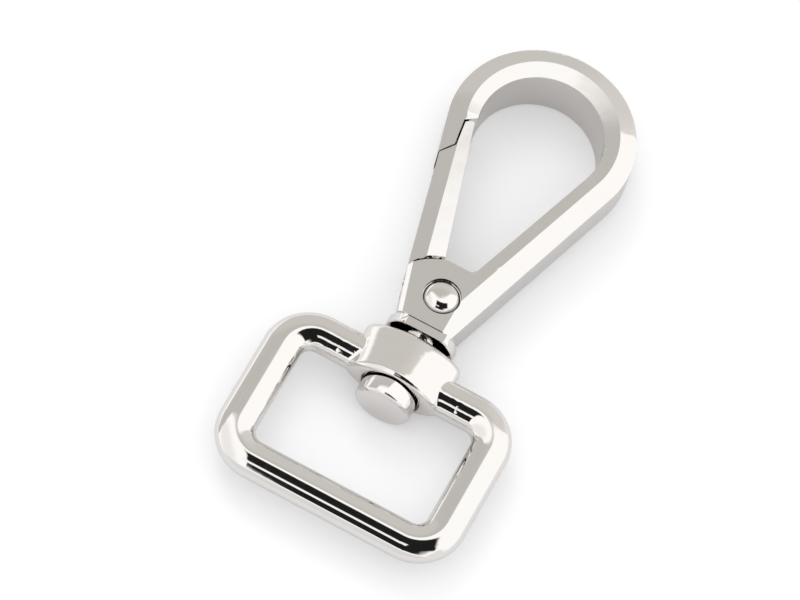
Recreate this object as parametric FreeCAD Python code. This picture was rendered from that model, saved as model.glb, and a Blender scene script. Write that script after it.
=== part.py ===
import FreeCAD, Part
import math
import os

# Swivel snap hook for 20 mm strap, lying flat on a table, millimetres.
# Every outline below is drawn about the gate pivot, with X across the hook, Y along it towards
# the eye, and Z up from the table. The finished solids are shifted along Y at the very end, so
# that the origin lies on the table under the middle of the whole hook.

# Hook body
BODY_THICKNESS = 6.4
BEVEL_WIDTH = 1.9
BEVEL_DEPTH = 1.0
EYE_CENTRE_Y = 22.6
EYE_SHIFT_X = 0.4
EYE_OUTER_RADIUS = 10.1
EYE_INNER_RADIUS = 6.8
CROWN_EXTRA = 0.5
NECK_END_Y = -3.6
NECK_RIGHT = 2.85
NECK_LEFT = 3.25
NECK_FLAT_RIGHT = 1.9
NECK_FLAT_TOP_Y = 0.3
SPINE_INNER_X = 1.7
EYE_FLOOR_Y = 4.0
EYE_FLOOR_FILLET = 1.0

# Cheeks that hold the gate
CHEEK_LEFT = 4.75
CHEEK_LEFT_Y = 1.6
CHEEK_CREST_X = -3.05
CHEEK_CREST_Y = 3.15
CHEEK_END_X = -1.2
CHEEK_CHAMFER = 0.45
SLOT_HEIGHT = 3.0
SLOT_HEEL_X = 2.6
SLOT_HEEL_Y = -0.95
SLOT_MOUTH_Y = 0.9
SLOT_SPINE_GAP = 0.2
SLOT_SPINE_Y = 0.5

# Gate
GATE_INSET = 0.08
GATE_WIDTH_HEEL = 3.6
GATE_WIDTH_TIP = 2.95
GATE_HEEL_PROUD = 0.15
GATE_TIP_SHY = 0.1
GATE_BEVEL_WIDTH = 1.6
GATE_TIP_ROUND = 0.3
HEEL_GAP = 0.45
TONGUE_CLEARANCE = 0.1
BOSS_RADIUS = 2.6
BOSS_CLEARANCE = 0.2
BOSS_THICKNESS = 1.3
TONGUE_HEEL_X = 2.45
TONGUE_HEEL_Y = -0.6
TONGUE_OUTER_INSET = 0.75
TONGUE_INNER_INSET = 0.25
TONGUE_REACH = 3.5
TONGUE_ROOT_X = 0.3
TONGUE_ROOT_Y = 2.2

# Stepped latch between the nose and the gate
LATCH_LOW_Y = 15.3
LATCH_STEP = 1.25
LATCH_HIGH_Y = 19.45
LIP_THICKNESS_LOW = 1.5
LIP_THICKNESS_HIGH = 1.85
LATCH_END_RISE = 1.0
LATCH_GAP_SIDE = 0.22
LATCH_GAP_END = 0.09
LATCH_TIP_SHARE = 0.7

# Gate rivet
RIVET_RADIUS = 1.2
RIVET_CLEARANCE = 0.06
RIVET_HEAD_RADIUS = 1.8
RIVET_HEAD_EDGE = 0.25
RIVET_DOME = 0.55
RECESS_RADIUS = 2.03
RECESS_DEPTH = 0.5

# Torsion spring round the gate rivet
WIRE_RADIUS = 0.2
COIL_RADIUS = 1.55
COIL_PITCH = 0.45
COIL_WHOLE_TURNS = 2
COIL_SIDE_GAP = 0.1
COIL_OUTER_GAP = 0.2
GATE_LEG_LENGTH = 3.2
BODY_LEG_LENGTH = 2.4
GROOVE_CLEARANCE = 0.06

# Collar at the end of the neck and the swivel pin in it
COLLAR_RADIUS = 3.95
COLLAR_LENGTH = 1.0
COLLAR_SINK = 0.12
COLLAR_ROUND = 0.2
PIN_RADIUS = 1.9
PIN_CLEARANCE = 0.06
PIN_TAIL_GAP = 0.1
PIN_BORE_REACH = 0.5
PIN_HEAD_RADIUS = 3.1
PIN_HEAD_THICKNESS = 2.75
PIN_HEAD_CHAMFER = 0.3
SWIVEL_GAP = 0.3
HEAD_SEAT_GAP = 0.12

# Strap loop, whose oval bar runs round the opening for the strap
STRAP_OPENING = 19.8
STRAP_GAP = 12.0
LOOP_TOP_Y = -10.8
LOOP_BAR_WIDTH = 4.2
LOOP_BAR_THICKNESS = 3.1
LOOP_CORNER_RADIUS = 3.3
HUB_FRONT_REACH = 0.1
HUB_HALF_WIDTH = 5.45
HUB_SIDE_RADIUS = 1.3
HUB_FRONT_CROWN = 3.75
HUB_REAR_CROWN = 2.8
HUB_TABLE_GAP = 0.12
HUB_REAR_ROUND = 1.0
HUB_FRONT_ROUND = 0.6
HEAD_RECESS_CLEARANCE = 0.3
HEAD_RECESS_DEPTH = 0.75

# Levels and places that follow from the sizes above
AXIS_Z = BODY_THICKNESS / 2
SLOT_LOW_Z = AXIS_Z - SLOT_HEIGHT / 2
SLOT_HIGH_Z = AXIS_Z + SLOT_HEIGHT / 2
TONGUE_LOW_Z = SLOT_LOW_Z + TONGUE_CLEARANCE
TONGUE_HIGH_Z = SLOT_HIGH_Z - TONGUE_CLEARANCE
BOSS_TOP_Z = TONGUE_LOW_Z + BOSS_THICKNESS
COIL_LOW_Z = BOSS_TOP_Z + COIL_SIDE_GAP + WIRE_RADIUS
EYE_INNER_Y = EYE_CENTRE_Y - CROWN_EXTRA
COLLAR_END_Y = NECK_END_Y - COLLAR_LENGTH
HUB_REAR_Y = COLLAR_END_Y - SWIVEL_GAP
HUB_FRONT_Y = LOOP_TOP_Y - HUB_FRONT_REACH
HEAD_SEAT_Y = HUB_FRONT_Y + HEAD_RECESS_DEPTH
LOOP_MIDDLE_Y = LOOP_TOP_Y - STRAP_GAP / 2
LOOP_END_Y = LOOP_TOP_Y - STRAP_GAP - LOOP_BAR_WIDTH
HOOK_END_Y = EYE_CENTRE_Y + EYE_OUTER_RADIUS
MIDDLE_Y = (HOOK_END_Y + LOOP_END_Y) / 2
PAST = 5.0
SAME = 1e-4


def at(x, y, z=0.0):
    """A point from its three coordinates."""
    return FreeCAD.Vector(x, y, z)


def line(a, b):
    """A straight edge."""
    return Part.LineSegment(a, b).toShape()


def arc(a, b, c):
    """A round edge from a through b to c."""
    return Part.Arc(a, b, c).toShape()


def polygon(points, z=0.0):
    """A closed wire of straight edges at height z."""
    corners = [at(x, y, z) for x, y in points]
    return Part.makePolygon(corners + corners[:1])


def prism(wire, height):
    """An upright solid on a closed flat wire."""
    return Part.Face(wire).extrude(at(0, 0, height))


def upright_cylinder(radius, low, high, x=0.0, y=0.0):
    """A round bar along Z."""
    return Part.makeCylinder(radius, high - low, at(x, y, low))


def swivel_cylinder(radius, front, rear):
    """A round bar along the swivel axis, from y = front up to y = rear."""
    return Part.makeCylinder(radius, rear - front, at(0, front, AXIS_Z), at(0, 1, 0))


def edges_where(shape, test):
    """The edges whose middle point passes the test."""
    found = []
    for edge in shape.Edges:
        middle = edge.valueAt((edge.FirstParameter + edge.LastParameter) / 2)
        if test(edge, middle):
            found.append(edge)
    return found


def is_upright(edge):
    """True for a straight edge along Z."""
    ends = [v.Point for v in edge.Vertexes]
    return len(ends) == 2 and (ends[0] - ends[1]).cross(at(0, 0, 1)).Length < SAME


def tangent_point(start, centre, radius, side):
    """Where the line from start touches the circle, on its right (+1) or left (-1)."""
    to_centre = centre - start
    turn = -side * math.asin(radius / to_centre.Length)
    reach = math.sqrt(to_centre.Length ** 2 - radius ** 2)
    heading = math.atan2(to_centre.y, to_centre.x) + turn
    return start + at(math.cos(heading), math.sin(heading)) * reach


def eye_point(radius, degrees, centre_y, z):
    """A point of a circle of the eye."""
    angle = math.radians(degrees)
    return at(EYE_SHIFT_X + radius * math.cos(angle), centre_y + radius * math.sin(angle), z)


def teardrop_wire(inset, z):
    """The hook's drop-shaped outline, drawn in by the bevel's width where inset is 1."""
    radius = EYE_OUTER_RADIUS - inset * BEVEL_WIDTH
    centre = at(EYE_SHIFT_X, EYE_CENTRE_Y)
    right_low = at(NECK_RIGHT + inset * (NECK_FLAT_RIGHT - NECK_RIGHT), NECK_END_Y)
    outer_touch = tangent_point(at(NECK_RIGHT, NECK_END_Y), centre, EYE_OUTER_RADIUS, 1)
    share = (NECK_FLAT_TOP_Y - NECK_END_Y) / (outer_touch.y - NECK_END_Y)
    outer_bend_x = NECK_RIGHT + share * (outer_touch.x - NECK_RIGHT)
    right_bend = at(outer_bend_x + inset * (NECK_FLAT_RIGHT - outer_bend_x), NECK_FLAT_TOP_Y)
    left_low = at(-NECK_LEFT + inset * BEVEL_WIDTH, NECK_END_Y)
    right_touch = tangent_point(right_bend, centre, radius, 1)
    left_touch = tangent_point(left_low, centre, radius, -1)
    lift = at(0, 0, z)
    top = eye_point(radius, 90, EYE_CENTRE_Y, z)
    corners = [p + lift for p in (left_low, right_low, right_bend, right_touch, left_touch)]
    return Part.Wire([
        line(corners[0], corners[1]),
        line(corners[1], corners[2]),
        line(corners[2], corners[3]),
        arc(corners[3], top, corners[4]),
        line(corners[4], corners[0]),
    ])


def left_edge_x(y):
    """The x of the body's straight left side at a height y along the hook."""
    low = at(-NECK_LEFT, NECK_END_Y)
    touch = tangent_point(low, at(EYE_SHIFT_X, EYE_CENTRE_Y), EYE_OUTER_RADIUS, -1)
    return low.x + (y - low.y) * (touch.x - low.x) / (touch.y - low.y)


def latch_line():
    """The stepped split between nose and gate, from the outside in."""
    low = at(left_edge_x(LATCH_LOW_Y), LATCH_LOW_Y)
    notch_y = LATCH_LOW_Y + LATCH_STEP
    notch = at(left_edge_x(notch_y) + LIP_THICKNESS_LOW, notch_y)
    high = at(left_edge_x(LATCH_HIGH_Y) + LIP_THICKNESS_HIGH, LATCH_HIGH_Y)
    inside = high + at(LATCH_STEP, LATCH_END_RISE)
    return low, notch, high, inside


def cheek_arc(grow=0.0):
    """Start, middle and end of the cheek's crest, or of a wider arc round the same centre."""
    start = at(-CHEEK_LEFT, CHEEK_LEFT_Y)
    crest = at(CHEEK_CREST_X, CHEEK_CREST_Y)
    end = at(CHEEK_END_X, EYE_FLOOR_Y)
    circle = Part.Arc(start, crest, end).toShape().Curve
    centre = circle.Center
    return [centre + (p - centre).normalize() * (circle.Radius + grow) for p in (start, crest, end)]


def throat_cutter():
    """What is cut from the drop to leave the eye, the mouth and the gate's place."""
    start, crest, end = cheek_arc()
    low, notch, high, inside = latch_line()
    corner = at(SPINE_INNER_X, EYE_FLOOR_Y)
    centre = at(EYE_SHIFT_X, EYE_INNER_Y)
    touch = tangent_point(corner, centre, EYE_INNER_RADIUS, 1)
    outside_low = low + (low - notch).normalize() * PAST
    outside_heel = start + at(-PAST, 0)
    points = [corner, touch, centre, inside, high, notch]
    points += [outside_low, at(outside_heel.x, outside_low.y), outside_heel, start]
    edges = [line(a, b) for a, b in zip(points, points[1:])]
    edges.append(arc(start, crest, end))
    edges.append(line(end, points[0]))
    wire = Part.Wire(edges)
    wire.translate(at(0, 0, -PAST))
    height = BODY_THICKNESS + 2 * PAST
    eye = upright_cylinder(EYE_INNER_RADIUS, -PAST, height - PAST, EYE_SHIFT_X, EYE_INNER_Y)
    return prism(wire, height).fuse(eye)


def cheek_plate():
    """The flat-topped plate on both sides of the gate's tongue, with its left edge broken."""
    start, crest, end = cheek_arc()
    neck_left = at(-NECK_LEFT, NECK_END_Y)
    neck_right = at(NECK_FLAT_RIGHT / 2, NECK_END_Y)
    floor_right = at(NECK_FLAT_RIGHT / 2, EYE_FLOOR_Y)
    wire = Part.Wire([
        line(neck_left, start),
        arc(start, crest, end),
        line(end, floor_right),
        line(floor_right, neck_right),
        line(neck_right, neck_left),
    ])
    plate = prism(wire, BODY_THICKNESS)
    outer_x = -(CHEEK_LEFT + NECK_LEFT) / 2

    def on_left_edge(edge, middle):
        return not is_upright(edge) and abs(middle.x - outer_x) < 0.2

    return plate.makeChamfer(CHEEK_CHAMFER, edges_where(plate, on_left_edge))


def collar():
    """The short round collar that ends the neck, a little below the body's flats."""
    disc = swivel_cylinder(COLLAR_RADIUS, COLLAR_END_Y, NECK_END_Y)
    end_edge = edges_where(disc, lambda e, m: abs(m.y - COLLAR_END_Y) < SAME and len(e.Vertexes) == 1)
    disc = disc.makeFillet(COLLAR_ROUND, end_edge)
    half = COLLAR_RADIUS + PAST
    height = BODY_THICKNESS - 2 * COLLAR_SINK
    corner = at(-half, NECK_END_Y - half, COLLAR_SINK)
    return disc.common(Part.makeBox(2 * half, 2 * half, height, corner))


def tongue_slot():
    """The slot between the cheeks that the gate's tongue swings in."""
    pocket = upright_cylinder(BOSS_RADIUS + BOSS_CLEARANCE, SLOT_LOW_Z, SLOT_HIGH_Z)
    left = -CHEEK_LEFT - PAST
    right = SPINE_INNER_X - SLOT_SPINE_GAP
    top = EYE_FLOOR_Y + PAST
    points = [(0, 0), (-SLOT_HEEL_X, SLOT_HEEL_Y), (left, SLOT_MOUTH_Y)]
    points += [(left, top), (right, top), (right, SLOT_SPINE_Y)]
    swing = prism(polygon(points, SLOT_LOW_Z), SLOT_HEIGHT)
    return pocket.fuse(swing)


def spring_notch():
    """The notch in the pocket's wall that holds the spring's lower leg."""
    half = WIRE_RADIUS + GROOVE_CLEARANCE
    low = COIL_LOW_Z - half
    length = BODY_LEG_LENGTH + GROOVE_CLEARANCE
    return Part.makeBox(length, 2 * half, 2 * half, at(0, -COIL_RADIUS - half, low))


def hook_body():
    """Spine, eye, nose, cheeks and collar, cast as one piece."""
    levels = ((1, 0.0), (0, BEVEL_DEPTH), (0, BODY_THICKNESS - BEVEL_DEPTH), (1, BODY_THICKNESS))
    drop = Part.makeLoft([teardrop_wire(inset, z) for inset, z in levels], True, True)
    body = drop.cut(throat_cutter()).fuse([cheek_plate(), collar()]).removeSplitter()

    def in_eye_corner(edge, middle):
        near = abs(middle.x - SPINE_INNER_X) < 0.05 and abs(middle.y - EYE_FLOOR_Y) < 0.05
        return is_upright(edge) and near

    body = body.makeFillet(EYE_FLOOR_FILLET, edges_where(body, in_eye_corner))
    for hollow in (tongue_slot(), spring_notch()):
        body = body.cut(hollow)
    above = BODY_THICKNESS + PAST
    body = body.cut(upright_cylinder(RIVET_RADIUS, -PAST, above))
    body = body.cut(upright_cylinder(RECESS_RADIUS, BODY_THICKNESS - RECESS_DEPTH, above))
    body = body.cut(upright_cylinder(RECESS_RADIUS, -PAST, RECESS_DEPTH))
    bore_end = -RIVET_RADIUS - PIN_BORE_REACH
    return body.cut(swivel_cylinder(PIN_RADIUS, COLLAR_END_Y - PAST, bore_end))


def gate_edges():
    """The lower and upper ends of the gate's outer edge, then of its inner edge."""
    outer_low = at(left_edge_x(CHEEK_LEFT_Y) - GATE_HEEL_PROUD, CHEEK_LEFT_Y)
    outer_high = at(left_edge_x(LATCH_LOW_Y) + GATE_TIP_SHY, LATCH_LOW_Y)
    along = (outer_high - outer_low).normalize()
    across = at(along.y, -along.x)
    inner_low = outer_low + across * GATE_WIDTH_HEEL
    inner_high = outer_high + across * GATE_WIDTH_TIP
    return outer_low, outer_high, inner_low, inner_high


def gate_direction():
    """Direction of the gate's outer edge, from its heel to its tip."""
    outer_low, outer_high, inner_low, inner_high = gate_edges()
    return (outer_high - outer_low).normalize()


def gate_bar_wire():
    """The gate's outline from past its heel to its stepped tip."""
    outer_low, outer_high, inner_low, inner_high = gate_edges()
    shift = at(LATCH_GAP_SIDE, -LATCH_GAP_END)
    low, notch, high, inside = [p + shift for p in latch_line()]
    along = (outer_high - outer_low).normalize()
    inner_run = (inner_high - inner_low).normalize()
    tip_top = high + (inside - high) * LATCH_TIP_SHARE
    tip_inner = inner_high + inner_run * ((high.y - inner_high.y) / inner_run.y)
    start = outer_low - along * PAST
    inner_start = inner_low - inner_run * PAST
    points = [start, outer_high, notch, high, tip_top, tip_inner, inner_start]
    return polygon([(p.x, p.y) for p in points], GATE_INSET), tip_top


def gate_bevel(level, up):
    """What is cut from the bar's outer edge at one of its two flats."""
    outer_low, outer_high, inner_low, inner_high = gate_edges()
    along = gate_direction()
    across = at(along.y, -along.x)
    start = outer_low - along * PAST
    share = 1 + PAST / GATE_BEVEL_WIDTH
    corner = at(start.x, start.y, level) - across * PAST
    inner = corner + across * (PAST + GATE_BEVEL_WIDTH)
    down = corner + at(0, 0, up * BEVEL_DEPTH * share)
    wedge = Part.Face(Part.makePolygon([corner, inner, down, corner]))
    return wedge.extrude(along * ((outer_high - start).Length + PAST))


def gate_bar():
    """The full-height bar of the gate, with broad bevels along its outer edge."""
    wire, tip_top = gate_bar_wire()
    high_z = BODY_THICKNESS - GATE_INSET
    bar = prism(wire, high_z - GATE_INSET)
    circle = Part.Arc(*cheek_arc()).toShape().Curve
    centre = circle.Center
    heel = circle.Radius + HEEL_GAP
    bar = bar.cut(upright_cylinder(heel, -PAST, BODY_THICKNESS + PAST, centre.x, centre.y))
    bar = max(bar.Solids, key=lambda s: s.Volume)
    for level, up in ((high_z, -1), (GATE_INSET, 1)):
        bar = bar.cut(gate_bevel(level, up))
    tip = edges_where(bar, lambda e, m: is_upright(e) and abs(m.x - tip_top.x) < SAME)
    return bar.makeFillet(GATE_TIP_ROUND, tip)


def gate_tongue():
    """The thin tongue in the slot: a boss round the rivet, and the neck that joins it to the bar."""
    outer_low, outer_high, inner_low, inner_high = gate_edges()
    along = gate_direction()
    across = at(along.y, -along.x)
    inner_run = (inner_high - inner_low).normalize()
    boss = upright_cylinder(BOSS_RADIUS, TONGUE_LOW_Z, BOSS_TOP_Z)
    foot = outer_low + across * TONGUE_OUTER_INSET
    top_outer = foot + along * TONGUE_REACH
    top_inner = inner_low + inner_run * TONGUE_REACH - across * TONGUE_INNER_INSET
    points = [(-TONGUE_HEEL_X, TONGUE_HEEL_Y), (foot.x, foot.y), (top_outer.x, top_outer.y)]
    points += [(top_inner.x, top_inner.y), (-TONGUE_ROOT_X, TONGUE_ROOT_Y), (0, 0)]
    neck = prism(polygon(points, TONGUE_LOW_Z), TONGUE_HIGH_Z - TONGUE_LOW_Z)
    coil_room = COIL_RADIUS + WIRE_RADIUS + COIL_OUTER_GAP
    return boss.fuse(neck).cut(upright_cylinder(coil_room, BOSS_TOP_Z, TONGUE_HIGH_Z + PAST))


def coil_turns():
    """Turns from the lower leg, clockwise from above, to the upper leg."""
    heading = math.atan2(gate_direction().y, gate_direction().x)
    return COIL_WHOLE_TURNS + (math.pi - heading) / (2 * math.pi)


def leg_groove(lift):
    """A round bar a little thicker and longer than the spring's upper leg, raised by lift."""
    direction = gate_direction()
    start = at(-direction.y, direction.x) * COIL_RADIUS
    start = start + at(0, 0, COIL_LOW_Z + coil_turns() * COIL_PITCH + lift)
    radius = WIRE_RADIUS + GROOVE_CLEARANCE
    return Part.makeCylinder(radius, GATE_LEG_LENGTH + GROOVE_CLEARANCE, start, direction)


def gate():
    """Bar and tongue in one piece, with the rivet's hole and the groove for the spring's leg."""
    whole = gate_bar().fuse(gate_tongue()).removeSplitter()
    hole = upright_cylinder(RIVET_RADIUS + RIVET_CLEARANCE, -PAST, BODY_THICKNESS + PAST)
    whole = whole.cut(hole)
    for lift in (0, WIRE_RADIUS):
        whole = whole.cut(leg_groove(lift))
    return max(whole.Solids, key=lambda s: s.Volume)


def gate_rivet():
    """The rivet that the gate swings on: a domed head above, a flush head below."""
    shank = upright_cylinder(RIVET_RADIUS, RECESS_DEPTH, BODY_THICKNESS - RECESS_DEPTH)
    seat = BODY_THICKNESS - RECESS_DEPTH
    edge_top = seat + RIVET_HEAD_EDGE
    crown = edge_top + RIVET_DOME
    profile = Part.Wire([
        line(at(0, 0, seat), at(RIVET_HEAD_RADIUS, 0, seat)),
        line(at(RIVET_HEAD_RADIUS, 0, seat), at(RIVET_HEAD_RADIUS, 0, edge_top)),
        dome_edge(edge_top, crown),
        line(at(0, 0, crown), at(0, 0, seat)),
    ])
    head = Part.Face(profile).revolve(at(0, 0, 0), at(0, 0, 1), 360)
    flush = upright_cylinder(RIVET_HEAD_RADIUS, 2 * GATE_INSET, RECESS_DEPTH)
    return shank.fuse([head, flush]).removeSplitter()


def dome_edge(edge_z, crown_z):
    """A quarter of the rivet head's dome, from its rim to its crown."""
    rise = crown_z - edge_z
    radius = (RIVET_HEAD_RADIUS ** 2 + rise ** 2) / (2 * rise)
    centre_z = crown_z - radius
    half = math.asin(RIVET_HEAD_RADIUS / radius) / 2
    middle = at(radius * math.sin(half), 0, centre_z + radius * math.cos(half))
    return arc(at(RIVET_HEAD_RADIUS, 0, edge_z), middle, at(0, 0, crown_z))


def gate_spring():
    """The torsion spring that closes the gate: a coil with one leg in the body, one in the gate."""
    helix = Part.makeHelix(COIL_PITCH, coil_turns() * COIL_PITCH, COIL_RADIUS)
    helix = helix.mirror(at(0, 0, 0), at(0, 1, 0))
    helix.rotate(at(0, 0, 0), at(0, 0, 1), -90)
    helix.translate(at(0, 0, COIL_LOW_Z))
    coil = helix.Edges[0]
    low_bend = coil.valueAt(coil.FirstParameter)
    high_bend = coil.valueAt(coil.LastParameter)
    low_tip = low_bend + at(BODY_LEG_LENGTH, 0)
    high_tip = high_bend + gate_direction() * GATE_LEG_LENGTH
    route = Part.Wire([line(low_tip, low_bend), coil, line(high_bend, high_tip)])
    section = Part.Wire(Part.makeCircle(WIRE_RADIUS, low_tip, at(1, 0, 0)))
    return route.makePipeShell([section], True, True, 0)


def swivel_pin():
    """The headed pin that the strap loop turns on, pressed into the neck."""
    tail_y = -(BOSS_RADIUS + PIN_TAIL_GAP)
    head_rear = HEAD_SEAT_Y - HEAD_SEAT_GAP
    head_front = head_rear - PIN_HEAD_THICKNESS
    shank = swivel_cylinder(PIN_RADIUS, head_rear, tail_y)
    head = swivel_cylinder(PIN_HEAD_RADIUS, head_front, head_rear)
    rim = edges_where(head, lambda e, m: abs(m.y - head_front) < SAME and len(e.Vertexes) == 1)
    head = head.makeChamfer(PIN_HEAD_CHAMFER, rim)
    return shank.fuse(head)


def bar_section(centre, outward):
    """The oval section of the loop's bar, upright across a bar that it cuts square."""
    side = centre + outward * (LOOP_BAR_WIDTH / 2)
    top = centre + at(0, 0, LOOP_BAR_THICKNESS / 2)
    return Part.Face(Part.Wire(Part.Ellipse(side, top, centre).toShape()))


def loop_frame():
    """The rectangular frame that the strap runs round: four straight bars and four round corners."""
    reach_x = STRAP_OPENING / 2 + LOOP_BAR_WIDTH / 2 - LOOP_CORNER_RADIUS
    reach_y = STRAP_GAP / 2 + LOOP_BAR_WIDTH / 2 - LOOP_CORNER_RADIUS
    pieces = []
    for side_x, side_y in ((1, 1), (-1, 1), (-1, -1), (1, -1)):
        turn = at(side_x * reach_x, LOOP_MIDDLE_Y + side_y * reach_y, AXIS_Z)
        out_x = at(side_x, 0)
        out_y = at(0, side_y)
        start = bar_section(turn + out_x * LOOP_CORNER_RADIUS, out_x)
        pieces.append(start.revolve(turn, at(0, 0, 1), side_x * side_y * 90))
        if side_x * side_y > 0:
            pieces.append(start.extrude(out_y * (-2 * reach_y)))
            across = bar_section(turn + out_y * LOOP_CORNER_RADIUS, out_y)
            pieces.append(across.extrude(out_x * (-2 * reach_x)))
    return pieces[0].fuse(pieces[1:]).removeSplitter()


def hub_arch(side, rise):
    """Height of an arch over the hub's axis where it meets the round sides, and how far out."""
    arch = (side ** 2 + rise ** 2 - HUB_SIDE_RADIUS ** 2) / (2 * (rise - HUB_SIDE_RADIUS))
    reach = arch / (arch - HUB_SIDE_RADIUS)
    return side * reach, rise - arch + (arch - rise) * reach


def hub_oval(y, above, below):
    """The hub's outline across the swivel axis: two broad arches that meet in round sides."""
    side = HUB_HALF_WIDTH - HUB_SIDE_RADIUS
    high_x, high_z = hub_arch(side, above)
    low_x, low_z = hub_arch(side, below)

    def spot(x, z):
        return at(x, y, AXIS_Z + z)

    return Part.Wire([
        arc(spot(-high_x, high_z), spot(0, above), spot(high_x, high_z)),
        arc(spot(high_x, high_z), spot(HUB_HALF_WIDTH, 0), spot(low_x, -low_z)),
        arc(spot(low_x, -low_z), spot(0, -below), spot(-low_x, -low_z)),
        arc(spot(-low_x, -low_z), spot(-HUB_HALF_WIDTH, 0), spot(-high_x, high_z)),
    ])


def loop_hub():
    """The hub that turns on the swivel pin, higher at its front than at its rear."""
    front_oval = hub_oval(HUB_FRONT_Y, HUB_FRONT_CROWN, AXIS_Z - HUB_TABLE_GAP)
    rear_oval = hub_oval(HUB_REAR_Y, HUB_REAR_CROWN, HUB_REAR_CROWN)
    hub = Part.makeLoft([front_oval, rear_oval], True, True)
    rear = edges_where(hub, lambda e, m: abs(m.y - HUB_REAR_Y) < SAME)
    hub = hub.makeFillet(HUB_REAR_ROUND, rear)
    front = edges_where(hub, lambda e, m: abs(m.y - HUB_FRONT_Y) < SAME)
    return hub.makeFillet(HUB_FRONT_ROUND, front)


def strap_loop():
    """Frame and hub cast in one piece, bored for the pin and recessed for its head."""
    loop = loop_frame().fuse(loop_hub()).removeSplitter()
    bore = swivel_cylinder(PIN_RADIUS + PIN_CLEARANCE, HUB_FRONT_Y - PAST, HUB_REAR_Y + PAST)
    recess_radius = PIN_HEAD_RADIUS + HEAD_RECESS_CLEARANCE
    recess = swivel_cylinder(recess_radius, HUB_FRONT_Y - PAST, HEAD_SEAT_Y)
    return loop.cut(bore).cut(recess)


def main():
    os.makedirs("parts", exist_ok=True)
    pieces = {
        "hook_body": hook_body,
        "gate": gate,
        "gate_rivet": gate_rivet,
        "gate_spring": gate_spring,
        "swivel_pin": swivel_pin,
        "strap_loop": strap_loop,
    }
    for name, make in pieces.items():
        solid = make()
        solid.translate(at(0, -MIDDLE_Y, 0))
        box = solid.BoundBox
        print(name, "solids", len(solid.Solids), "valid", solid.isValid(), "volume", round(solid.Volume, 2),
              "from", [round(v, 2) for v in (box.XMin, box.YMin, box.ZMin)],
              "to", [round(v, 2) for v in (box.XMax, box.YMax, box.ZMax)])
        solid.exportStep("parts/" + name + ".step")


main()
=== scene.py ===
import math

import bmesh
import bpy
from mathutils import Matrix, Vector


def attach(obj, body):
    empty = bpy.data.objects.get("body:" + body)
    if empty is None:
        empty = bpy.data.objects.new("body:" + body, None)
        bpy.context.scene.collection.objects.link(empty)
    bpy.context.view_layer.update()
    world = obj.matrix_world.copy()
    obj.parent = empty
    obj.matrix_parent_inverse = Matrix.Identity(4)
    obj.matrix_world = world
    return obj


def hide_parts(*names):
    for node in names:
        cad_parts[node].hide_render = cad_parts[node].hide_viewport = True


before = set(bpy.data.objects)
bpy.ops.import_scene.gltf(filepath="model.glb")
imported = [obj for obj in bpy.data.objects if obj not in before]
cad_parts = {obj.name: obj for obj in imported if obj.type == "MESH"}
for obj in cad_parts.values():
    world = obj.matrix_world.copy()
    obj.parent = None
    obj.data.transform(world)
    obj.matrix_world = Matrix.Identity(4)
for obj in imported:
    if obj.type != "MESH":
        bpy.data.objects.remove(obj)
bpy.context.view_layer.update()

# %% [markdown]
# # A polished swivel snap hook on a white table
#
# The hook is a small nickel-plated casting: a drop-shaped body, a sprung gate on a rivet, and a
# rectangular strap loop that turns on a headed pin. It measures about 60 mm and is as shiny as a
# mirror, so nearly everything the eye reads on it is a reflection. The lesson therefore spends
# its effort on three things: edges that are slightly rounded, a plating that is not quite even,
# and a soft studio that gives the metal something to reflect.
#
# The solids come in ready, in metres, and stay where they are.

MM = 0.001

# %% [markdown]
# ## Camera
#
# The picture looks down on the table at about 64 degrees, from far away, with the camera turned
# on its own axis so that the hook lies across the frame. Three angles, a distance and the size of
# a millimetre on the picture describe that fully, so the camera is worked out from them instead
# of being pushed about by hand.

# %% Camera
PICTURE_WIDTH = 800
ELEVATION = 63.55
AROUND = 12.46
ROLL = 16.6
DISTANCE = 600 * MM
PIXELS_PER_MM = 9.605
AIM_RIGHT = 33.9 / PIXELS_PER_MM * MM
AIM_UP = -22.5 / PIXELS_PER_MM * MM
TABLE_POINT = Vector((0, -2.85 * MM, 0))


def camera_axes():
    """Right, up and backward directions of the camera."""
    elevation, around, roll = (math.radians(v) for v in (ELEVATION, AROUND, ROLL))
    level_right = Vector((math.cos(around), math.sin(around), 0))
    level_ahead = Vector((-math.sin(around), math.cos(around), 0))
    back = -math.cos(elevation) * level_ahead + Vector((0, 0, math.sin(elevation)))
    level_up = math.sin(elevation) * level_ahead + Vector((0, 0, math.cos(elevation)))
    right = math.cos(roll) * level_right + math.sin(roll) * level_up
    up = -math.sin(roll) * level_right + math.cos(roll) * level_up
    return right, up, back


def make_camera():
    right, up, back = camera_axes()
    place = TABLE_POINT - right * AIM_RIGHT - up * AIM_UP + back * DISTANCE
    data = bpy.data.cameras.new("camera")
    camera = bpy.data.objects.new("camera", data)
    bpy.context.scene.collection.objects.link(camera)
    turn = Matrix((right, up, back)).transposed().to_4x4()
    camera.matrix_world = Matrix.Translation(place) @ turn
    data.lens = PIXELS_PER_MM * (DISTANCE / MM) / PICTURE_WIDTH * data.sensor_width
    data.clip_start = 0.01
    bpy.context.scene.camera = camera
    return camera


camera = make_camera()
bpy.context.scene.view_settings.view_transform = "Standard"
print("camera lens in mm", round(camera.data.lens, 1))

# %% [markdown]
# ## Writing shader maths as plain sums
#
# A finish is a network of nodes, and a sum such as `1 - mask * 0.3` would need two of them wired
# by hand. The small class below wraps a socket, so that Python's own signs add those nodes. Every
# other node comes from one method, which sets its settings first and then its sockets.

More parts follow.
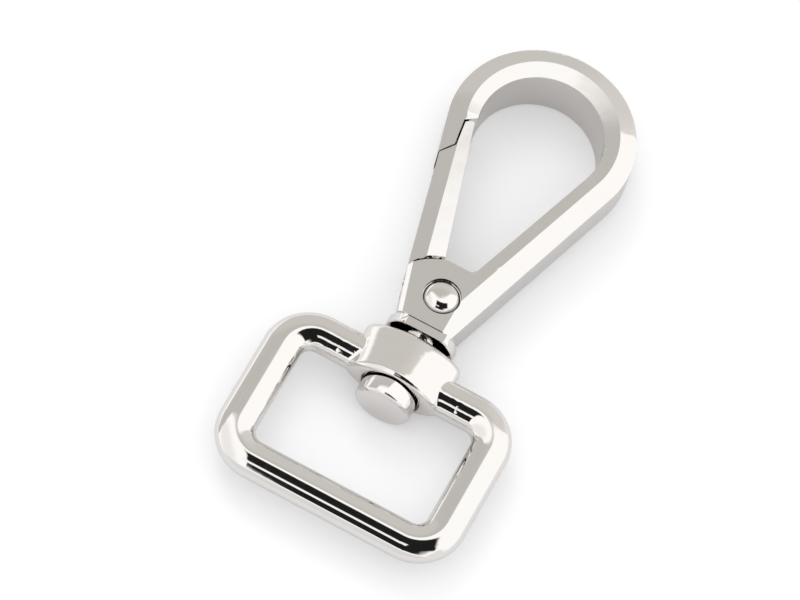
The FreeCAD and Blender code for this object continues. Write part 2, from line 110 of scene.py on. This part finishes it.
# %% Sums on sockets
class Wire:
    """An output socket that can be used in sums."""

    def __init__(self, sheet, socket):
        self.sheet = sheet
        self.socket = socket

    def __add__(self, other):
        return self.sheet.sum("ADD", self, other)

    def __radd__(self, other):
        return self.sheet.sum("ADD", other, self)

    def __sub__(self, other):
        return self.sheet.sum("SUBTRACT", self, other)

    def __rsub__(self, other):
        return self.sheet.sum("SUBTRACT", other, self)

    def __mul__(self, other):
        return self.sheet.sum("MULTIPLY", self, other)

    def __rmul__(self, other):
        return self.sheet.sum("MULTIPLY", other, self)

    def __truediv__(self, other):
        return self.sheet.sum("DIVIDE", self, other)


class Sheet:
    """A node tree to draw a finish, or the studio's sky, on."""

    def __init__(self, tree):
        self.tree = tree
        tree.nodes.clear()

    def node(self, kind, settings=None, links=None, out=0):
        """Adds a node, sets its settings, then its sockets, and gives back one output."""
        made = self.tree.nodes.new(kind)
        for name, value in (settings or {}).items():
            setattr(made, name, value)
        for name, value in (links or {}).items():
            socket = made.inputs[name]
            if isinstance(value, Wire):
                self.tree.links.new(value.socket, socket)
            else:
                socket.default_value = value
        if not made.outputs:
            return None
        return Wire(self, made.outputs[out])

    def sum(self, operation, first, second):
        return self.node("ShaderNodeMath", {"operation": operation}, {0: first, 1: second})

    def step(self, value, low, high):
        """0 below low, 1 above high, and a smooth rise between them."""
        settings = {"interpolation_type": "SMOOTHSTEP"}
        links = {0: value, 1: low, 2: high, 3: 0.0, 4: 1.0}
        return self.node("ShaderNodeMapRange", settings, links)

    def blend(self, share, first, second):
        """A mix of two colours."""
        links = {0: share, 6: first, 7: second}
        return self.node("ShaderNodeMix", {"data_type": "RGBA"}, links, out=2)

    def noise(self, place, per_mm, detail=2.0, seed=0.0):
        """Soft noise with so many waves to the millimetre."""
        settings = {"noise_dimensions": "4D"}
        links = {"Vector": place, "W": seed, "Scale": per_mm / MM, "Detail": detail}
        return self.node("ShaderNodeTexNoise", settings, links)


print("sums ready")

# %% [markdown]
# ## The studio
#
# Polished metal has hardly any colour of its own: it shows the room. The room here is a small
# white photo tent. Behind the hook hangs a large grey panel, the light that comes in from the
# right is a little brighter than the left wall, and straight above there is a black opening with
# one bright lamp in it. That opening draws every black stripe on the metal, and the lamp in it
# draws the white line between two of them.
#
# A world shader can be that room. Every direction is written as two angles, how many degrees it
# leans from straight up towards the right of the hook, and how many towards its eye. On such a
# map the panel and the opening are plain areas with straight borders. Only mirrored rays see the
# room. The picture's background and the light on the table stay plain white.

# %% Studio
METAL_SHINE = 0.83
WHITE_WALL = 0.95
LEFT_WALL = 0.80
RIGHT_FLOOR = 0.72
FRONT_WALL = 0.66
PANEL = 0.53
PANEL_FOOT_FALL = 0.06
PANEL_RISES = ((-10, 15, 0.07), (25, 42, 0.10), (42, 62, 0.25))
OPENING = 0.012
OPENING_LAMP = 0.88
PANEL_WARMTH = (1.023, 1, 0.965, 1)


def lean_angles(sheet):
    """How far a direction leans from straight up, in degrees, to the right and towards the eye."""
    direction = sheet.node("ShaderNodeTexCoord", out="Generated")
    parts = sheet.node("ShaderNodeSeparateXYZ", None, {0: direction})
    right, ahead, up = (Wire(sheet, parts.socket.node.outputs[i]) for i in range(3))
    level = sheet.sum("SQRT", right * right + ahead * ahead, 0.0)
    lean = sheet.sum("DEGREES", sheet.sum("ARCTAN2", level, up), 0.0)
    share = lean / sheet.sum("MAXIMUM", level, 1e-4)
    return right * share, ahead * share


def inside(sheet, value, low, high, soft):
    """1 where value lies between low and high, and 0 outside."""
    above = sheet.step(value, low - soft, low + soft)
    return above * (1 - sheet.step(value, high - soft, high + soft))


def grey_panel(sheet, x, y):
    """Where the panel hangs, and how bright it is there."""
    left_border = sheet.step(x - y * 0.45, -92, -84)
    near = sheet.sum("MINIMUM", sheet.sum("MAXIMUM", x + 6, 0.0), 10.0)
    foot = 22.5 + near * 1.2 + sheet.sum("MAXIMUM", x - 4, 0.0) * 0.75
    foot = foot - sheet.sum("MAXIMUM", -38 - x, 0.0) * 0.8
    mask = left_border * sheet.step(y - foot, -2.5, 2.5) * (1 - sheet.step(x, 66, 78))
    bright = PANEL - PANEL_FOOT_FALL * (1 - sheet.step(y, 26, 40))
    for low, high, rise in PANEL_RISES:
        bright = bright + sheet.step(x, low, high) * rise
    return mask, bright


def black_opening(sheet, x, y):
    """Where the opening above is, apart from the lamp in it."""
    slant = x + sheet.sum("MAXIMUM", y, -20.0) * 1.09
    blur = sheet.step(y * -1.0, 18, 30) * -22
    right_border = 1 - sheet.step(slant, blur + 25, 31)
    mask = sheet.step(x, -9.5, -7.5) * inside(sheet, y, -52, 15, 1.5) * right_border
    lamp = inside(sheet, x, -14, 4, 1.0) * inside(sheet, y, -24, -14, 1.0)
    return mask, lamp


def make_studio():
    world = bpy.data.worlds.new("studio")
    bpy.context.scene.world = world
    world.use_nodes = True
    sheet = Sheet(world.node_tree)
    x, y = lean_angles(sheet)
    left = inside(sheet, x, -70, -27, 10) * inside(sheet, y, -60, 12, 8)
    lower_right = sheet.step(x, 50, 62) * (1 - sheet.step(y, -24, -10))
    front = 1 - sheet.step(y, -62, -54)
    bright = WHITE_WALL - left * (WHITE_WALL - LEFT_WALL) - lower_right * (WHITE_WALL - RIGHT_FLOOR)
    bright = bright + front * (FRONT_WALL - bright)
    panel, panel_bright = grey_panel(sheet, x, y)
    bright = bright + panel * (panel_bright - bright)
    opening, lamp = black_opening(sheet, x, y)
    bright = bright + opening * (OPENING - bright)
    bright = bright + lamp * (OPENING_LAMP - bright)
    warmth = sheet.blend(panel, (1, 1, 1, 1), PANEL_WARMTH)
    room_links = {"Color": warmth, "Strength": bright / METAL_SHINE}
    room = sheet.node("ShaderNodeBackground", None, room_links)
    plain = sheet.node("ShaderNodeBackground", None, {"Color": (1, 1, 1, 1), "Strength": 1.0})
    mirrored = sheet.node("ShaderNodeLightPath", out="Is Glossy Ray")
    light = sheet.node("ShaderNodeMixShader", None, {0: mirrored, 1: plain, 2: room})
    sheet.node("ShaderNodeOutputWorld", None, {"Surface": light})


make_studio()
print("studio ready")

# %% [markdown]
# ## The table
#
# The table is a plain white sheet. It is a little darker than the tent where the hook shades it,
# and that soft shadow is all that ties the hook to the ground.

# %% Table
TABLE_HALF = 1.5
TABLE_COLOUR = (0.82, 0.82, 0.83, 1)
TABLE_GLOW = 0.2


def make_table():
    mesh = bpy.data.meshes.new("table")
    corners = [(-TABLE_HALF, -TABLE_HALF, 0), (TABLE_HALF, -TABLE_HALF, 0)]
    corners += [(TABLE_HALF, TABLE_HALF, 0), (-TABLE_HALF, TABLE_HALF, 0)]
    mesh.from_pydata(corners, [], [(0, 1, 2, 3)])
    table = bpy.data.objects.new("table", mesh)
    bpy.context.scene.collection.objects.link(table)
    material = bpy.data.materials.new("white_table")
    material.use_nodes = True
    sheet = Sheet(material.node_tree)
    matt = sheet.node("ShaderNodeBsdfDiffuse", None, {"Color": TABLE_COLOUR})
    seen = sheet.node("ShaderNodeLightPath", out="Is Camera Ray")
    glow_links = {"Color": (1, 1, 1, 1), "Strength": seen * TABLE_GLOW}
    glow = sheet.node("ShaderNodeEmission", None, glow_links)
    both = sheet.node("ShaderNodeAddShader", None, {0: matt, 1: glow})
    sheet.node("ShaderNodeOutputMaterial", None, {"Surface": both})
    mesh.materials.append(material)


make_table()

# %% [markdown]
# ## Soft light
#
# One broad lamp up and to the left gives the shadow its direction. It is wide and close to the
# tent's own brightness, so it shows as a soft sheen and not as a spot.

# %% Lamp
KEY_PLACE = (-0.5, 0.55, 0.75)
KEY_SIZE = 0.5
KEY_POWER = 1.2


def make_lamp(name, place, size, power):
    data = bpy.data.lights.new(name, "AREA")
    data.shape = "DISK"
    data.size = size
    data.energy = power
    lamp = bpy.data.objects.new(name, data)
    bpy.context.scene.collection.objects.link(lamp)
    lamp.location = place
    lamp.rotation_euler = (-Vector(place)).to_track_quat("-Z", "Y").to_euler()
    return lamp


key = make_lamp("key", KEY_PLACE, KEY_SIZE, KEY_POWER)
key.visible_glossy = False
print("lamp power", key.data.energy)

# %% [markdown]
# ## Nickel plating
#
# The casting is copper plated and then nickel plated, so it is a warm light grey, brighter than
# steel. The layer is a mirror, but the casting below it was tumbled, not ground, and so its flats
# are a little wavy. Two slow noises give that waviness as a bump, and a faint cloudiness in the
# roughness gives the haze that hands leave. A thin dark ring of painted shade is drawn round the
# rivet's head, where the narrow gap round it lies in shade.

# %% Plating
# Painted shade: the inner and outer radius in mm of the dark ring drawn round the rivet's head, and
# its colour.
PAINTED_RIVET_SHADE_RADII = (1.81, 1.97)
PAINTED_RIVET_SHADE_COLOUR = (0.03, 0.03, 0.03, 1)


def painted_rivet_shade(sheet, place):
    """Painted shade: the thin dark ring round the rivet's head, where no light gets into the gap.
    """
    parts = sheet.node("ShaderNodeSeparateXYZ", None, {0: place})
    across, along = (Wire(sheet, parts.socket.node.outputs[i]) / MM for i in range(2))
    along = along - TABLE_POINT.y / MM
    away = sheet.sum("SQRT", across * across + along * along, 0.0)
    return inside(sheet, away, *PAINTED_RIVET_SHADE_RADII, 0.03)


def polished_metal(name, colour, tint, roughness, haze, wave_height, seed):
    """A mirror-like plating: colour and tint are mixed in soft clouds, with a wavy surface."""
    material = bpy.data.materials.new(name)
    material.use_nodes = True
    sheet = Sheet(material.node_tree)
    place = sheet.node("ShaderNodeTexCoord", out="Object")
    clouds = sheet.noise(place, 0.12, 3.0, seed)
    specks = sheet.noise(place, 1.6, 4.0, seed + 3)
    waves = sheet.noise(place, 0.22, 1.5, seed + 7)
    ripple = sheet.noise(place, 0.9, 2.0, seed + 11)
    share = sheet.step(clouds, 0.35, 0.65)
    base = sheet.blend(share, (*colour, 1), (*tint, 1))
    # Painted shade: the shaded gap round the rivet's head is drawn as a dark ring in the base
    # colour.
    base = sheet.blend(painted_rivet_shade(sheet, place), base, PAINTED_RIVET_SHADE_COLOUR)
    rough = roughness + haze * clouds * sheet.step(specks, 0.45, 0.7)
    height = waves + ripple * 0.12
    bump_links = {"Height": height, "Strength": 1.0, "Distance": wave_height * MM}
    bump = sheet.node("ShaderNodeBump", None, bump_links)
    links = {"Base Color": base, "Metallic": 1.0, "Roughness": rough, "Normal": bump}
    surface = sheet.node("ShaderNodeBsdfPrincipled", None, links)
    sheet.node("ShaderNodeOutputMaterial", None, {"Surface": surface})
    return material


plating = polished_metal("nickel_plated_casting", (0.86, 0.83, 0.80), (0.85, 0.83, 0.805),
                         roughness=0.03, haze=0.05, wave_height=0.012, seed=0.0)
pin_plating = polished_metal("nickel_plated_pin", (0.86, 0.84, 0.81), (0.87, 0.84, 0.82),
                             roughness=0.03, haze=0.05, wave_height=0.008, seed=5.0)
spring_steel = polished_metal("spring_steel", (0.52, 0.51, 0.50), (0.45, 0.44, 0.43),
                              roughness=0.25, haze=0.15, wave_height=0.004, seed=9.0)
print("finishes", plating.name, pin_plating.name, spring_steel.name)

# %% [markdown]
# ## The drop's outline
#
# The body is a drop: a round eye whose two straight sides meet at the neck. How deep a point lies
# inside that outline decides which slope of the section it is on, so that depth is worked out
# once, for any point.

# %% Drop outline
THICKNESS = 6.4 * MM
MIDDLE = THICKNESS / 2
EYE_CENTRE = Vector((0.4, 19.75)) * MM
EYE_RADIUS = 10.1 * MM
NECK_RIGHT = Vector((2.85, -6.45)) * MM
NECK_LEFT = Vector((-3.25, -6.45)) * MM


def side_direction(neck, side):
    """Direction of a straight side, from the neck up to where it touches the eye."""
    to_eye = EYE_CENTRE - neck
    turn = -side * math.asin(EYE_RADIUS / to_eye.length)
    heading = math.atan2(to_eye.y, to_eye.x) + turn
    return Vector((math.cos(heading), math.sin(heading)))


RIGHT_SIDE = side_direction(NECK_RIGHT, 1)
LEFT_SIDE = side_direction(NECK_LEFT, -1)


def depth_inside(point):
    """Distance of a point from the drop's outline, measured inwards."""
    flat = Vector((point[0], point[1]))
    depths = []
    for neck, along, side in ((NECK_RIGHT, RIGHT_SIDE, 1), (NECK_LEFT, LEFT_SIDE, -1)):
        outward = Vector((along.y, -along.x)) * side
        if (flat - EYE_CENTRE).dot(along) > 0:
            depths.append(EYE_RADIUS - (flat - EYE_CENTRE).length)
        else:
            depths.append((neck - flat).dot(outward))
    return min(depths)


def smooth_rise(value, low, high):
    """0 below low, 1 above high, and a smooth rise between them."""
    share = min(1.0, max(0.0, (value - low) / (high - low)))
    return share * share * (3 - 2 * share)


print("right side leans", round(math.degrees(math.atan2(RIGHT_SIDE.x, RIGHT_SIDE.y)), 1), "degrees")

# %% [markdown]
# ## Slopes and rounded edges
#
# The top of the eye isn't a flat ring. Its broad outer bevel ends in a low ridge, and from there
# the top falls again by a few degrees towards the opening. The two slopes mirror different parts
# of the room, so the ridge shows as the line where grey turns to white. The gate has the same
# section, and only the cheeks round the rivet are level.
#
# A copy of each solid is merged, and the body's copy is also cut into narrow strips, so that its
# corners can be moved. The slope is then set by depth, and every edge that is still sharp is
# rounded by a tenth of a millimetre.

# %% Slopes and edges
RIDGE_DEPTH = 1.9 * MM
GATE_RIDGE_DEPTH = 1.6 * MM
INNER_TILT = math.tan(math.radians(3.6))
TINY = 0.02 * MM
SLIVER = 0.09 * MM
FLAT_ENOUGH = math.radians(0.4)
CUTS_ROUND_EYE = 36
CUTS_BELOW_EYE = 9
MERGE_ABOVE = 9 * MM
BODY_TILT_ZONE = (1 * MM, 9 * MM)
GATE_TILT_ZONE = (-9 * MM, -8 * MM)
BUTTON_SHARE = 0.85
BUTTON_POWER = 6


def merged_copy(node):
    """The solid's mesh with its corners merged and its flat faces joined."""
    work = bmesh.new()
    work.from_mesh(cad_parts[node].data)
    bmesh.ops.remove_doubles(work, verts=work.verts, dist=1e-7)
    bmesh.ops.dissolve_limit(work, angle_limit=FLAT_ENOUGH, verts=work.verts, edges=work.edges)
    return work


def cut_through(work, point, normal):
    """Adds edges where an upright plane meets the mesh."""
    everything = work.verts[:] + work.edges[:] + work.faces[:]
    bmesh.ops.bisect_plane(work, geom=everything, dist=TINY / 4, plane_co=point, plane_no=normal)


def is_level(vertex, reach=MIDDLE):
    """True on the flat top or bottom of a piece that reaches so far from the middle."""
    return abs(abs(vertex.co.z - MIDDLE) - reach) < TINY


def tilt_inwards(work, ridge_depth, low_end, high_end, reach=MIDDLE):
    """Lets the flat top and bottom fall towards the opening, more and more between two heights."""
    for vertex in work.verts:
        fall = (depth_inside(vertex.co) - ridge_depth) * INNER_TILT
        if is_level(vertex, reach) and fall > 0:
            up = 1 if vertex.co.z > MIDDLE else -1
            vertex.co.z -= up * fall * smooth_rise(vertex.co.y, low_end, high_end)


def crown_body(work):
    """Cuts the top into strips and tilts them."""
    centre = (EYE_CENTRE.x, EYE_CENTRE.y, 0)
    for step in range(CUTS_ROUND_EYE):
        angle = math.pi * step / CUTS_ROUND_EYE
        cut_through(work, centre, (-math.sin(angle), math.cos(angle), 0))
    for step in range(CUTS_BELOW_EYE):
        cut_through(work, (0, (1 + step) * MM, 0), (0, 1, 0))
    upper = [v for v in work.verts if is_level(v) and v.co.y > MERGE_ABOVE]
    bmesh.ops.remove_doubles(work, verts=upper, dist=SLIVER)
    tilt_inwards(work, RIDGE_DEPTH, *BODY_TILT_ZONE)


def crown_gate(work):
    """Tilts the gate's top in the same way, which lies a little below the body's."""
    reach = max(abs(v.co.z - MIDDLE) for v in work.verts)
    tilt_inwards(work, GATE_RIDGE_DEPTH, *GATE_TILT_ZONE, reach)


def flatten_head(work):
    """Keeps a dome's height, but bends it mostly near its rim."""
    away = {v: (v.co - TABLE_POINT).xy.length for v in work.verts if v.co.z > MIDDLE}
    widest = max(away.values())
    top = max(v.co.z for v in away)
    foot = max(v.co.z for v in away if away[v] > widest - TINY)
    for vertex, distance in away.items():
        if vertex.co.z > foot + TINY:
            button = (top - foot) * (1 - (distance / widest) ** BUTTON_POWER)
            dome = vertex.co.z - foot
            vertex.co.z = foot + dome * (1 - BUTTON_SHARE) + button * BUTTON_SHARE
    print("rivet head in mm", round(widest / MM, 2), "dome", round((top - foot) / MM, 2))


def dressed(node, name, body, material, width_mm, shape=None, angle=28, level_faces=False):
    """A copy of a solid with its slopes and rounded edges, shown in its place."""
    work = merged_copy(node)
    if shape:
        shape(work)
    mesh = bpy.data.meshes.new(name)
    work.to_mesh(mesh)
    work.free()
    mesh.materials.append(material)
    for face in mesh.polygons:
        face.use_smooth = True
    piece = bpy.data.objects.new(name, mesh)
    bpy.context.scene.collection.objects.link(piece)
    bevel = piece.modifiers.new("rounded edges", "BEVEL")
    bevel.width = width_mm * MM
    bevel.segments = 3
    bevel.limit_method = "ANGLE"
    bevel.angle_limit = math.radians(angle)
    bevel.use_clamp_overlap = True
    bevel.miter_outer = "MITER_ARC"
    if level_faces:
        even = piece.modifiers.new("even shading", "WEIGHTED_NORMAL")
        even.weight = 80
    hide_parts(node)
    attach(piece, body)
    print(name, "faces", len(mesh.polygons))
    return piece


hook = dressed("hook_body", "polished_body", "hook", plating, 0.12, crown_body, 20, True)
gate = dressed("gate", "polished_gate", "gate", plating, 0.12, crown_gate, 20, True)
loop = dressed("strap_loop", "polished_loop", "strap_loop", plating, 0.1)
rivet = dressed("gate_rivet", "polished_rivet", "hook", pin_plating, 0.06, flatten_head)
pin = dressed("swivel_pin", "polished_pin", "hook", pin_plating, 0.1)
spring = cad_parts["gate_spring"]
spring.data.materials.clear()
spring.data.materials.append(spring_steel)
